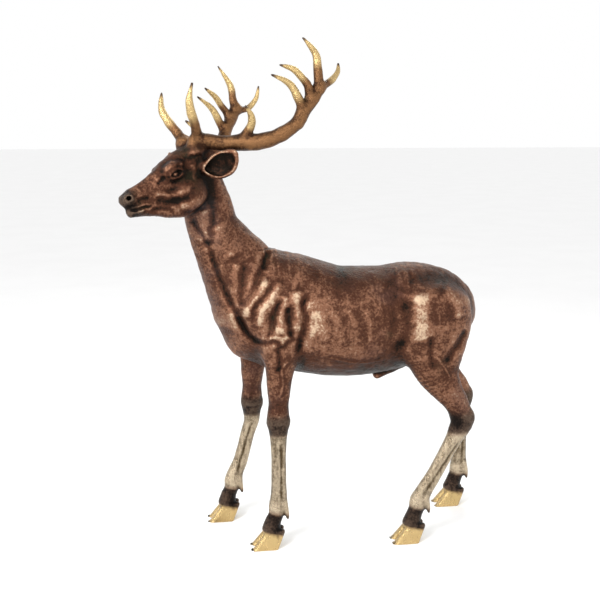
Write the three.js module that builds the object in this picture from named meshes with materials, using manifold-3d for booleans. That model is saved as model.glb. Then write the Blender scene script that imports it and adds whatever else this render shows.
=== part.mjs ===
// A life-size standing red deer stag, cast in bronze as one piece.
// Millimetres. The stag faces -X, its left side faces -Y, +Z is up, and it stands on z = 0.
//
// The form is an implicit surface. Each limb is a chain of elliptical sections along a curve, the limbs are
// blended into each other, and muscles, folds and grooves are pressed into the surface as strokes.
// The surface is then meshed on a grid and thinned to a faceted solid.
import * as THREE from 'three';
import * as BufferGeometryUtils from 'three/addons/utils/BufferGeometryUtils.js';
import Module from 'manifold-3d';

// ---------------------------------------------------------------------------------------------
// Driving dimensions
// ---------------------------------------------------------------------------------------------
const CELL = 6.5; // grid step of the meshed surface
const FACETS = 9600; // triangles of the finished solid
const BLOCK = 4; // grid steps in a block, which is skipped where the surface doesn't come near
const STEP = 16; // distance between the sections that a limb is swept through
const FAR = 1e4; // a distance that means "nowhere near"

const HEAD_YAW = 30; // the head turns to the stag's left, towards -Y
const HEAD_PITCH = 20; // and the nose drops
const HEAD_ROLL = 7; // with the left side a little higher
const EAR_SWING = 0.6; // how far the right ear is pricked forwards, for each millimetre out from the head
const EAR_LIFT = 0.4; // and upwards
const TINE_SAG = 22; // how much lower the right antler's tines hang in their middle
const POLL = [-366, -30, 1575]; // where the skull meets the neck

const KNEE_Z = 530; // the carpus of both forelegs
const HOCK_Z = 512; // the hock of both hind legs
const FETLOCK_Z = 172;
const CORONET_Z = 84; // the top of the hooves

// Hoof centres on the ground: [x, y]
const HOOF = {
  front_left: [-160, -150],
  front_right: [-326, 132],
  hind_left: [424, -176],
  hind_right: [700, 146],
};

// ---------------------------------------------------------------------------------------------
// Small maths
// ---------------------------------------------------------------------------------------------
const clamp = (v, lo, hi) => Math.min(hi, Math.max(lo, v));
const mix = (a, b, t) => a + (b - a) * t;
const smooth = (lo, hi, v) => {
  const t = clamp((v - lo) / (hi - lo), 0, 1);
  return t * t * (3 - 2 * t);
};

// Union and cut with a rounded joint of width k.
const blendMin = (a, b, k) => {
  const h = Math.max(k - Math.abs(a - b), 0);
  return Math.min(a, b) - (k > 0 ? (h * h) / (4 * k) : 0);
};
const blendMax = (a, b, k) => -blendMin(-a, -b, k);

// Catmull-Rom through rows of numbers, sampled about every `step` of the first three, the position.
function resample(rows, step = STEP) {
  const out = [];
  for (let i = 0; i + 1 < rows.length; i++) {
    const [p0, p1, p2, p3] = [rows[Math.max(i - 1, 0)], rows[i], rows[i + 1],
      rows[Math.min(i + 2, rows.length - 1)]];
    const n = Math.max(2, Math.round(Math.hypot(p2[0] - p1[0], p2[1] - p1[1], p2[2] - p1[2]) / step));
    for (let j = 0; j < n; j++) {
      const t = j / n;
      out.push(p1.map((_, c) => 0.5 * (2 * p1[c] + (p2[c] - p0[c]) * t
        + (2 * p0[c] - 5 * p1[c] + 4 * p2[c] - p3[c]) * t * t
        + (3 * p1[c] - p0[c] - 3 * p2[c] + p3[c]) * t * t * t)));
    }
  }
  out.push(rows[rows.length - 1].slice());
  return out;
}

// ---------------------------------------------------------------------------------------------
// Operations on the field. Each has a box that it acts in and a function (x, y, z, d) => new d.
// ---------------------------------------------------------------------------------------------
function boxAround(points, margin) {
  const lo = [0, 1, 2].map((c) => Math.min(...points.map((p) => p[c])) - margin);
  const hi = [0, 1, 2].map((c) => Math.max(...points.map((p) => p[c])) + margin);
  return { lo, hi };
}

// A limb: rows [x, y, z, a, b], where b is the half-size along `side` and a the half-size across it.
// It is added with a blend of width k, or cut away if `cut` is set.
function limb(rows, { k = 20, side = [0, 1, 0], cut = false, step = STEP } = {}) {
  const s = resample(rows, step);
  const segments = [];
  const sideVector = new THREE.Vector3(...side);
  for (let i = 0; i + 1 < s.length; i++) {
    const a = new THREE.Vector3(...s[i]);
    const t = new THREE.Vector3(...s[i + 1]).sub(a);
    const length = t.length();
    t.divideScalar(length);
    const v = sideVector.clone().addScaledVector(t, -sideVector.dot(t)).normalize();
    const n = new THREE.Vector3().crossVectors(t, v);
    segments.push([a.x, a.y, a.z, t.x, t.y, t.z, length, v.x, v.y, v.z, n.x, n.y, n.z,
      s[i][3], s[i + 1][3], s[i][4], s[i + 1][4]]);
  }
  const reach = Math.max(...s.map((r) => Math.max(r[3], r[4])));
  const distance = (x, y, z) => {
    let best = FAR;
    for (const g of segments) {
      const [qx, qy, qz] = [x - g[0], y - g[1], z - g[2]];
      const along = qx * g[3] + qy * g[4] + qz * g[5];
      const h = clamp(along / g[6], 0, 1);
      const l = h * g[6];
      const [rx, ry, rz] = [qx - g[3] * l, qy - g[4] * l, qz - g[5] * l];
      const a = mix(g[13], g[14], h);
      const b = mix(g[15], g[16], h);
      const v = (rx * g[7] + ry * g[8] + rz * g[9]) / b;
      const u = (rx * g[10] + ry * g[11] + rz * g[12]) / a;
      const w = (along - l) / Math.min(a, b);
      const size = Math.sqrt(u * u + v * v + w * w);
      const d = size < 1e-6 ? -Math.min(a, b) : Math.hypot(rx, ry, rz) * (1 - 1 / size);
      if (d < best) best = d;
    }
    return best;
  };
  return {
    box: boxAround(s, reach + k + 2 * CELL),
    apply: cut ? (x, y, z, d) => blendMax(d, -distance(x, y, z), k) : (x, y, z, d) => blendMin(d,
      distance(x, y, z), k),
  };
}

// An ellipsoid with centre c, half-sizes r along three unit axes.
function ellipsoid(c, r, { k = 20, axes = [[1, 0, 0], [0, 1, 0], [0, 0, 1]], cut = false } = {}) {
  const distance = (x, y, z) => {
    const q = [x - c[0], y - c[1], z - c[2]];
    const size = Math.hypot(...axes.map((e, i) => (q[0] * e[0] + q[1] * e[1] + q[2] * e[2]) / r[i]));
    return size < 1e-6 ? -Math.min(...r) : Math.hypot(...q) * (1 - 1 / size);
  };
  return {
    box: boxAround([c], Math.max(...r) + k + 2 * CELL),
    apply: cut ? (x, y, z, d) => blendMax(d, -distance(x, y, z), k) : (x, y, z, d) => blendMin(d,
      distance(x, y, z), k),
  };
}

// A groove (depth > 0) or a ridge (depth < 0), drawn as a line seen from the side and pressed into the surfaces
// that face that way. Points are [along, up] in `frame`; sides are +1 for the left, -1 for the right.
function stroke(points, { width = 14, depth = 8, sides = [1, -1], frame = BODY, from = 25, box } = {}) {
  const line = resample(points.map(([f, u]) => [f, u, 0]), width * 0.6);
  const total = line.length - 1;
  const reach = 2.2 * width;
  return {
    box,
    apply: (x, y, z, d) => {
      const [f, l, u] = frame.local(x, y, z);
      const side = Math.sign(l);
      if (!sides.includes(side) || Math.abs(d) > 60) return d;
      let [best, at] = [reach * reach, 0];
      for (let i = 0; i < total; i++) {
        const [dx, dz] = [line[i + 1][0] - line[i][0], line[i + 1][1] - line[i][1]];
        const h = clamp(((f - line[i][0]) * dx + (u - line[i][1]) * dz) / (dx * dx + dz * dz), 0, 1);
        const r = (f - line[i][0] - dx * h) ** 2 + (u - line[i][1] - dz * h) ** 2;
        if (r < best) [best, at] = [r, (i + h) / total];
      }
      if (best >= reach * reach) return d;
      const taper = Math.min(1, 5 * at, 5 * (1 - at)) * 0.9 + 0.1;
      return d + depth * taper * Math.exp(-best / (width * width)) * smooth(from, from + 35, Math.abs(l));
    },
  };
}

// A frame gives [forward, left, up] of a point, and the point at [forward, left, up].
function makeFrame(origin, forward, left, up) {
  const dot = (q, e) => q[0] * e[0] + q[1] * e[1] + q[2] * e[2];
  return {
    forward, left, up,
    local: (x, y, z) => {
      const q = [x - origin[0], y - origin[1], z - origin[2]];
      return [dot(q, forward), dot(q, left), dot(q, up)];
    },
    world: ([f, l, u]) => [0, 1, 2].map((c) => origin[c] + f * forward[c] + l * left[c] + u * up[c]),
  };
}

const BODY = makeFrame([0, 0, 0], [-1, 0, 0], [0, -1, 0], [0, 0, 1]);

const HEAD = (() => {
  const [yaw, pitch, roll] = [HEAD_YAW, HEAD_PITCH, HEAD_ROLL].map(THREE.MathUtils.degToRad);
  const forward = new THREE.Vector3(-Math.cos(yaw) * Math.cos(pitch), -Math.sin(yaw) * Math.cos(pitch),
    -Math.sin(pitch));
  const level = new THREE.Vector3(Math.sin(yaw), -Math.cos(yaw), 0);
  const crown = new THREE.Vector3().crossVectors(forward, level);
  const left = level.clone().multiplyScalar(Math.cos(roll)).addScaledVector(crown, Math.sin(roll));
  const up = new THREE.Vector3().crossVectors(forward, left);
  return makeFrame(POLL, forward.toArray(), left.toArray(), up.toArray());
})();

// ---------------------------------------------------------------------------------------------
// The trunk and neck: rows [x, z, half-height, half-width] along the middle
// ---------------------------------------------------------------------------------------------
const TRUNK = [
  [-214, 920, 108, 86], // breast
  [-176, 945, 184, 138],
  [-95, 958, 240, 165], // withers over the shoulders
  [10, 938, 236, 180],
  [120, 912, 230, 190], // ribs
  [240, 907, 228, 190],
  [350, 915, 221, 180], // loin
  [460, 940, 208, 165], // hips
  [560, 943, 180, 150],
  [612, 938, 148, 124], // rump
  [647, 925, 100, 92],
];
const NECK = [
  [-190, 0, 1000, 168, 124],
  [-240, -2, 1115, 155, 108],
  [-300, -6, 1215, 125, 90],
  [-346, -12, 1300, 103, 76],
  [-366, -18, 1378, 98, 68],
  [-384, -24, 1450, 88, 62],
  [-404, -30, 1520, 76, 60],
];
const trunk = () => [
  limb(TRUNK.map(([x, z, a, b]) => [x, 0, z, a, b]), { k: 0, step: 24 }),
  limb(NECK, { k: 70 }),
  ellipsoid([-212, 0, 868], [98, 80, 106], { k: 40 }), // the brisket
];

// Muscles and folds of the trunk: lines of [forward, up] as the side shows them, on both sides unless stated
const MUSCLES = () => {
  const reach = (points) => boxAround(points.flatMap(([f, u]) => [[-f, -260, u], [-f, 260, u]]), 60);
  const line = (width, depth, points, options) => stroke(points,
    { width, depth, box: reach(points), ...options });
  return [
    line(26, -9, [[123, 1114], [173, 1060], [235, 990]]), // the shoulder's muscles
    line(26, -9, [[94, 1108], [144, 1029], [180, 970], [184, 915]]),
    line(22, -10, [[79, 1057], [97, 957], [95, 895]]),
    line(24, -9, [[29, 1056], [32, 980], [42, 905]]),
    line(13, 8, [[113, 1108], [163, 1045], [193, 1010], [209, 945]]),
    line(12, 8, [[89, 1038], [124, 978], [137, 917], [145, 882]]),
    line(11, 8, [[74, 1002], [63, 935], [57, 884]]),
    line(16, 15, [[-18, 1046], [8, 1020], [2, 964], [8, 913], [22, 862], [29, 805]]), // behind the shoulder
    line(15, 12, [[133, 1225], [165, 1156], [190, 1097], [221, 1042], [246, 1003], [257, 963],
      [237, 911], [203, 869]]),
    line(13, 9, [[233, 886], [174, 863], [124, 873], [94, 854], [63, 877], [23, 883]]), // under it
    line(12, 6, [[115, 855], [106, 803], [110, 750]]),
    // throat
    line(13, 12, [[360, 1240], [346, 1184], [330, 1123], [302, 1052], [273, 990], [249, 943],
      [214, 885], [179, 842]]),
    line(12, 6, [[432, 1349], [399, 1290], [359, 1232]]),
    line(14, 5, [[354, 1440], [348, 1348], [361, 1299], [359, 1236]]),
    line(16, 6, [[227, 1174], [238, 1124], [244, 1064], [254, 1004]]),
    // the flank
    line(20, 16, [[-399, 1070], [-402, 1016], [-407, 954], [-405, 891], [-391, 846], [-358, 815]]),
    line(34, -10, [[-430, 1080], [-448, 1010], [-458, 930], [-460, 830]]), // the front of the thigh
    line(16, 10, [[-650, 900], [-620, 845], [-585, 797], [-559, 757]]), // the hamstring
    line(30, -8, [[-380, 1100], [-420, 1094]]), // the point of the hip
  ];
};

// ---------------------------------------------------------------------------------------------
// Legs: a row [x, z, a, b] for each section; y runs from the body out to the hoof
// ---------------------------------------------------------------------------------------------
function frontLeg(side, hoof, kneeX) {
  const y = (z) => mix(0.86 * Math.abs(hoof[1]), Math.abs(hoof[1]), smooth(850, 300, z)) * -side;
  const [x0, x1] = [kneeX, hoof[0] + 52];
  const lower = (t) => mix(x0, x1, t);
  const rows = [
    [x0 + 18, 905, 84, 52],
    [x0 + 10, 830, 72, 50],
    [x0 + 8, 745, 57, 42],
    [x0 + 4, 670, 48, 36],
    [x0 + 2, 610, 41, 33],
    [x0, KNEE_Z + 30, 44, 36],
    [x0, KNEE_Z, 45, 38],
    [x0, KNEE_Z - 35, 39, 34],
    [lower(0.02), KNEE_Z - 80, 33, 28],
    [lower(0.27), 380, 30, 25],
    [lower(0.62), 270, 31, 26],
    [lower(0.9), 215, 34, 30],
    [lower(1) - 4, FETLOCK_Z, 38, 34],
    [lower(1) - 12, 138, 31, 29],
    [lower(1) - 24, 110, 33, 31],
    [lower(1) - 32, CORONET_Z - 8, 38, 35],
  ];
  return [limb(rows.map(([x, z, a, b]) => [x, y(z), z, a, b]), { k: 45 })];
}

function hindLeg(side, hoof, hockX) {
  const y = (z) => mix(0.72 * Math.abs(hoof[1]), Math.abs(hoof[1]), smooth(900, 350, z)) * -side;
  const fetlockX = hoof[0] + 50;
  const rows = [
    [535, 1000, 135, 66],
    [528, 900, 150, 74],
    [mix(510, hockX, 0.16), 805, 130, 66],
    [mix(478, hockX, 0.4), 715, 91, 52],
    [mix(458, hockX, 0.68), 640, 63, 42],
    [mix(450, hockX, 0.9), 575, 49, 35],
    [hockX, HOCK_Z, 48, 34],
    [mix(hockX, fetlockX, 0.1), HOCK_Z - 45, 42, 32],
    [mix(hockX, fetlockX, 0.25), 420, 33, 27],
    [mix(hockX, fetlockX, 0.6), 300, 31, 25],
    [mix(hockX, fetlockX, 0.88), 215, 34, 28],
    [fetlockX, FETLOCK_Z, 39, 34],
    [fetlockX - 10, 138, 32, 29],
    [fetlockX - 20, 110, 33, 31],
    [fetlockX - 30, CORONET_Z - 8, 38, 35],
  ];
  return [
    limb(rows.map(([x, z, a, b]) => [x, y(z), z, a, b]), { k: 60 }),
    ellipsoid([hockX + 24, y(HOCK_Z), HOCK_Z + 10], [25, 20, 32], { k: 18 }),
  ];
}

// A cloven hoof: two toes, each the space between a sloping front wall, a heel, an outer wall and the cleft.
const TOE = { reach: 58, heel: -46, slope: 52, heelSlope: 68, half: 43, cleft: 3, top: CORONET_Z + 6 };
function hoofToes([cx, cy]) {
  const slope = THREE.MathUtils.degToRad(TOE.slope);
  const heel = THREE.MathUtils.degToRad(TOE.heelSlope);
  const distance = (x, y, z) => {
    const [f, l] = [-(x - cx), Math.abs(y - cy)];
    const front = (f - TOE.reach) * Math.sin(slope) + z * Math.cos(slope) + 0.006 * (l - 22) ** 2;
    const back = -(f - TOE.heel) * Math.sin(heel) - z * Math.cos(heel);
    const outer = l - TOE.half + 0.14 * z;
    const inner = TOE.cleft + 0.0011 * Math.max(f, 0) ** 2 - l;
    const roof = z - TOE.top + 0.25 * (TOE.reach - f) * 0.35;
    const floor = -CELL - z;
    return [back, outer, inner, roof, floor].reduce((d, wall) => blendMax(d, wall, 12), front);
  };
  return {
    box: boxAround([[cx, cy, 40]], 110),
    apply: (x, y, z, d) => blendMin(d, distance(x, y, z), 6),
  };
}

// The two dew claws behind the fetlock.
const dewClaws = ([cx, cy], lean) => [-1, 1].map((s) => limb([
  [cx + 78 + lean, cy + s * 16, FETLOCK_Z + 20, 12, 12],
  [cx + 90 + lean, cy + s * 19, FETLOCK_Z - 20, 10, 9],
  [cx + 94 + lean, cy + s * 20, FETLOCK_Z - 44, 5, 5],
], { k: 14, step: 8 }));

// ---------------------------------------------------------------------------------------------
// The head: rows [forward, up, half-height, half-width] in the head's own frame
// ---------------------------------------------------------------------------------------------
const SKULL = [
  [-8, 0, 58, 56], [50, 12, 64, 62], [110, 12, 64, 62], [165, 4, 60, 58], [215, -8, 53, 48],
  [265, -15, 45, 39], [315, -17, 37, 34], [350, -15, 33, 33], [374, -16, 27, 29], [383, -18, 21, 22],
];
const JAW = [
  [110, -86, 66, 48], [165, -98, 68, 46], [215, -91, 61, 41], [275, -74, 47, 34], [325, -63, 36, 29],
  [356, -62, 28, 25], [374, -60, 21, 19],
];
const headLimb = (rows, options) => limb(rows.map(([f, u, a, b]) => [...HEAD.world([f, 0, u]), a, b]),
  { side: HEAD.left, step: 12, ...options });
const headBlob = (at, size, options) => ellipsoid(HEAD.world(at), size,
  { axes: [HEAD.forward, HEAD.left, HEAD.up], ...options });
const bothSides = (make) => [1, -1].flatMap(make);

const head = () => [
  headLimb(SKULL, { k: 45 }),
  headLimb(JAW, { k: 18 }),
  ...bothSides((s) => [
    headBlob([176, s * 54, 20], [38, 17, 28], { k: 26 }), // the orbit
    headBlob([138, s * 40, -86], [58, 19, 58], { k: 30 }), // the cheek
    headBlob([372, s * 20, -14], [24, 14, 20], { k: 10 }), // the wing of the nose
    headBlob([384, s * 25, -10], [10, 7, 7], { k: 4, cut: true }), // the nostril
    headBlob([184, s * 62, 10], [19, 12, 13], { k: 5, cut: true }), // the eye in its socket
    headBlob([182, s * 56, 10], [14, 13, 12], { k: 2 }),
  ]),
  stroke([[392, -53], [360, -66], [325, -74], [292, -84]], { // the mouth
    width: 7, depth: 6, frame: HEAD, from: -20, box: boxAround([HEAD.world([345, 0, -70])], 90),
  }),
];

// ---------------------------------------------------------------------------------------------
// Ears: a leaf-shaped shell, hollowed on the side that faces forward and out
// ---------------------------------------------------------------------------------------------
function ear(s) {
  const opening = [0.82, 0.57, 0]; // the way that the hollow faces
  const [swing, raise] = s > 0 ? [0, 0] : [EAR_SWING, EAR_LIFT]; // the right ear is pricked
  const leaf = (rows, lift, options) => limb(rows.map(([f, l, u, a, b]) => [
    ...HEAD.world([f + lift * opening[0] + swing * (l - 50), s * (l + lift * opening[1]),
      u + lift * opening[2] + raise * (l - 50)]), a, b]), {
    side: HEAD.up, step: 10, ...options,
  });
  return [
    leaf([[60, 50, -10, 22, 24], [52, 78, -26, 26, 34], [32, 108, -31, 24, 49], [7, 136, -26, 20, 48],
      [-12, 161, -13, 14, 34], [-22, 179, 1, 6, 13]],
      0, { k: 14 }),
    leaf([[48, 82, -26, 16, 14], [34, 108, -30, 22, 34], [8, 136, -25, 20, 38], [-9, 157, -13, 13, 25],
      [-17, 170, -5, 6, 12]],
      17, { k: 5, cut: true }),
  ];
}

// ---------------------------------------------------------------------------------------------
// Antlers: [forward, left, up, radius] in the head's frame, mirrored for the right one
// ---------------------------------------------------------------------------------------------
const ANTLER = {
  beam: [[60, 36, 36, 30], [46, 46, 78, 32], [20, 66, 70, 29], [-18, 100, 44, 28], [-64, 150, 22, 30],
    [-111, 195, 2, 31],
    [-162, 230, -6, 29], [-212, 254, -2, 27], [-264, 273, 14, 25], [-304, 286, 44, 24],
      [-356, 299, 76, 24], [-398, 305, 104, 19]],
  brow: [[38, 52, 84, 22], [40, 80, 135, 18], [47, 100, 186, 17], [42, 114, 233, 13], [12, 124, 282, 4]],
  trez: [[-70, 160, 24, 18], [-112, 195, 62, 16], [-119, 215, 99, 13], [-101, 231, 142, 4]],
  crown1: [[-264, 276, 10, 20], [-292, 286, 55, 18], [-293, 290, 98, 17], [-278, 288, 158, 13],
    [-223, 281, 210, 4]],
  crown2: [[-340, 298, 84, 18], [-346, 301, 122, 16], [-336, 297, 158, 14], [-315, 291, 200, 12],
    [-272, 282, 231, 4]],
  crown3: [[-390, 305, 100, 20], [-408, 309, 163, 17], [-421, 311, 222, 14], [-389, 311, 292, 4]],
  crown4: [[-380, 303, 96, 18], [-424, 302, 102, 14], [-467, 297, 107, 13], [-510, 290, 126, 10],
    [-530, 284, 152, 4]],
};
const antler = (s) => Object.entries(ANTLER).map(([name, rows]) => {
  const sags = s < 0 && name.startsWith('crown');
  const sag = (i) => (sags ? TINE_SAG * Math.sin((Math.PI * i) / (rows.length - 1)) : 0);
  return limb(rows.map(([f, l, u, r], i) => [...HEAD.world([f + sag(i) / 2, s * l, u - sag(i)]), r, r]), {
    k: name === 'beam' ? 18 : 14, step: 10,
  });
});

// ---------------------------------------------------------------------------------------------
// The whole stag, in the order in which it is modelled
// ---------------------------------------------------------------------------------------------
const tail = () => [limb([[648, 0, 1038, 28, 34], [675, 0, 985, 22, 30], [684, 0, 920, 17, 26],
  [689, 0, 850, 9, 15]], { k: 18 })];
const sheath = () => [limb([[455, 0, 740, 31, 28], [396, 0, 708, 26, 24], [328, 0, 674, 21, 20]],
  { k: 12 })];

const OPERATIONS = [
  ...trunk(),
  ...frontLeg(1, HOOF.front_left, -108),
  ...frontLeg(-1, HOOF.front_right, -192),
  ...hindLeg(1, HOOF.hind_left, 650),
  ...hindLeg(-1, HOOF.hind_right, 750),
  ...tail(),
  ...sheath(),
  ...MUSCLES(),
  ...head(),
  ...bothSides(ear),
  ...bothSides(antler),
  ...Object.values(HOOF).map(hoofToes),
  ...dewClaws(HOOF.front_left, -8), ...dewClaws(HOOF.front_right, -8),
  ...dewClaws(HOOF.hind_left, -6), ...dewClaws(HOOF.hind_right, -10),
];

// ---------------------------------------------------------------------------------------------
// Meshing: the field on a grid, and one vertex in each cell that the surface crosses
// ---------------------------------------------------------------------------------------------
function sampleField(operations) {
  const lo = [0, 1, 2].map((c) => Math.min(...operations.map((o) => o.box.lo[c])));
  const hi = [0, 1, 2].map((c) => Math.max(...operations.map((o) => o.box.hi[c])));
  lo[2] = Math.max(lo[2], -4 * CELL);
  const size = [0, 1, 2].map((c) => BLOCK * Math.ceil((hi[c] - lo[c]) / CELL / BLOCK) + 1);
  const values = new Float32Array(size[0] * size[1] * size[2]).fill(FAR);
  const blockSize = BLOCK * CELL;
  const reach = blockSize + 20;
  const blocks = size.map((n) => (n - 1) / BLOCK);
  for (let bk = 0; bk < blocks[2]; bk++)
    for (let bj = 0; bj < blocks[1]; bj++)
      for (let bi = 0; bi < blocks[0]; bi++) {
        const corner = [bi, bj, bk].map((n, c) => lo[c] + n * blockSize);
        const local = operations.filter(({ box }) => [0, 1, 2].every(
          (c) => corner[c] <= box.hi[c] && corner[c] + blockSize >= box.lo[c]));
        const middle = corner.map((c) => c + blockSize / 2);
        const about = local.reduce((d, { apply }) => apply(...middle, d), FAR);
        const exact = Math.abs(about) < reach;
        const last = [bi, bj, bk].map((n, c) => BLOCK + (n === blocks[c] - 1 ? 1 : 0));
        for (let k = 0; k < last[2]; k++)
          for (let j = 0; j < last[1]; j++)
            for (let i = 0; i < last[0]; i++) {
              let d = about;
              if (exact) {
                const [x, y, z] = [corner[0] + i * CELL, corner[1] + j * CELL, corner[2] + k * CELL];
                d = FAR;
                for (const { apply } of local) d = apply(x, y, z, d);
              }
              values[bi * BLOCK + i + size[0] * (bj * BLOCK + j + size[1] * (bk * BLOCK + k))] = d;
            }
      }
  return { lo, size, values };
}

// Corners and edges of a grid cell, and which of its 256 patterns of inside corners are simple: both the inside
// corners and the outside ones hang together along the cell's edges.
const CORNERS = [...Array(8).keys()].map((n) => [n & 1, (n >> 1) & 1, (n >> 2) & 1]);
const EDGES = CORNERS.flatMap((_, a) => [1, 2, 4].filter((bit) => !(a & bit)).map((bit) => [a, a | bit]));
const SIMPLE = [...Array(256).keys()].map((pattern) => [0, 1].every((kind) => {
  const members = [...Array(8).keys()].filter((n) => ((pattern >> n) & 1) === kind);
  const reached = new Set(members.slice(0, 1));
  for (let round = 0; round < 8; round++)
    for (const [a, b] of EDGES)
      if (members.includes(a) && members.includes(b) && (reached.has(a) || reached.has(b)))
        reached.add(a).add(b);
  return reached.size === members.length;
}));

// Fills the cells whose pattern isn't simple, so that the surface never touches itself.
function fillPinches({ size: [nx, ny, nz], values }) {
  const offset = CORNERS.map(([i, j, k]) => i + nx * (j + ny * k));
  for (let changed = true; changed;) {
    changed = false;
    for (let k = 0; k < nz - 1; k++)
      for (let j = 0; j < ny - 1; j++)
        for (let i = 0; i < nx - 1; i++) {
          const cell = i + nx * (j + ny * k);
          const pattern = offset.reduce((bits, o, n) => bits | ((values[cell + o] < 0) << n), 0);
          if (SIMPLE[pattern]) continue;
          for (const o of offset) values[cell + o] = Math.min(values[cell + o], -0.05 * CELL);
          changed = true;
        }
  }
}

function surfaceNet({ lo, size: [nx, ny, nz], values }) {
  // The grid's outer layer counts as outside, so that the surface closes.
  const outside = (i, j, k) => i === 0 || j === 0 || k === 0
    || i === nx - 1 || j === ny - 1 || k === nz - 1;
  const value = (i, j, k) => (outside(i, j, k) ? Math.max(values[i + nx * (j + ny * k)],
    1) : values[i + nx * (j + ny * k)]);
  const vertexOf = new Int32Array(nx * ny * nz).fill(-1);
  const vertices = [];
  const v = new Float64Array(8);
  for (let k = 0; k < nz - 1; k++)
    for (let j = 0; j < ny - 1; j++)
      for (let i = 0; i < nx - 1; i++) {
        let inside = 0;
        for (let n = 0; n < 8; n++) {
          v[n] = value(i + CORNERS[n][0], j + CORNERS[n][1], k + CORNERS[n][2]);
          if (v[n] < 0) inside++;
        }
        if (inside === 0 || inside === 8) continue;
        const sum = [0, 0, 0];
        let count = 0;
        for (const [a, b] of EDGES) {
          if (v[a] < 0 === v[b] < 0) continue;
          const t = v[a] / (v[a] - v[b]);
          for (let c = 0; c < 3; c++) sum[c] += mix(CORNERS[a][c], CORNERS[b][c], t);
          count++;
        }
        vertexOf[i + nx * (j + ny * k)] = vertices.length;
        vertices.push([i, j, k].map((n, c) => lo[c] + (n + sum[c] / count) * CELL));
      }
  // Each grid edge that the surface crosses joins the four cells around it.
  const faces = [];
  const stride = [1, nx, nx * ny];
  for (let k = 1; k < nz - 1; k++)
    for (let j = 1; j < ny - 1; j++)
      for (let i = 1; i < nx - 1; i++) {
        const here = value(i, j, k) < 0;
        for (let c = 0; c < 3; c++) {
          const there = value(i + (c === 0), j + (c === 1), k + (c === 2)) < 0;
          if (here === there) continue;
          const [u, w] = [stride[(c + 1) % 3], stride[(c + 2) % 3]];
          const cell = i + nx * (j + ny * k);
          const quad = [cell - u - w, cell - w, cell, cell - u].map((n) => vertexOf[n]);
          if (!here) quad.reverse();
          faces.push([quad[0], quad[1], quad[2]], [quad[0], quad[2], quad[3]]);
        }
      }
  return { vertices, faces };
}

// ---------------------------------------------------------------------------------------------
// Thinning: edges collapse in order of the squared distance to the planes around them
// ---------------------------------------------------------------------------------------------
const QUADRIC = 10; // terms of the symmetric 4 x 4 matrix
const LEAST_TURN = 0.6; // cosine of the most that a face may turn in one collapse
const SLIVER = 0.06; // least width of a face, as a share of its length

function planeQuadric(q, at, [a, b, c, d], weight) {
  const terms = [a * a, a * b, a * c, a * d, b * b, b * c, b * d, c * c, c * d, d * d];
  for (let i = 0; i < QUADRIC; i++) q[at + i] += weight * terms[i];
}
const quadricError = (q, [x, y, z]) => q[0] * x * x + 2 * q[1] * x * y + 2 * q[2] * x * z + 2 * q[3] * x
  + q[4] * y * y + 2 * q[5] * y * z + 2 * q[6] * y + q[7] * z * z + 2 * q[8] * z + q[9];

// The point of least error, or null where the planes don't fix one.
function bestPoint(q) {
  const [a, b, c, , e, f, , h] = q;
  const [x, y, z] = [-q[3], -q[6], -q[8]];
  const det = a * (e * h - f * f) - b * (b * h - f * c) + c * (b * f - e * c);
  if (Math.abs(det) < 1e-6 * (a + e + h) ** 3) return null;
  return [
    (x * (e * h - f * f) - b * (y * h - f * z) + c * (y * f - e * z)) / det,
    (a * (y * h - f * z) - x * (b * h - f * c) + c * (b * z - y * c)) / det,
    (a * (e * z - y * f) - b * (b * z - y * c) + x * (b * f - e * c)) / det,
  ];
}

class Heap {
  items = [];
  push(item) {
    const a = this.items;
    let i = a.push(item) - 1;
    while (i > 0) {
      const up = (i - 1) >> 1;
      if (a[up].cost <= item.cost) break;
      a[i] = a[up];
      i = up;
    }
    a[i] = item;
  }
  pop() {
    const a = this.items;
    const [top, last] = [a[0], a.pop()];
    if (a.length) {
      let i = 0;
      for (;;) {
        let child = 2 * i + 1;
        if (child >= a.length) break;
        if (child + 1 < a.length && a[child + 1].cost < a[child].cost) child++;
        if (a[child].cost >= last.cost) break;
        a[i] = a[child];
        i = child;
      }
      a[i] = last;
    }
    return top;
  }
}

function faceNormal(p, q, r) {
  const [ux, uy, uz] = [q[0] - p[0], q[1] - p[1], q[2] - p[2]];
  const [vx, vy, vz] = [r[0] - p[0], r[1] - p[1], r[2] - p[2]];
  return [uy * vz - uz * vy, uz * vx - ux * vz, ux * vy - uy * vx];
}

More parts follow.
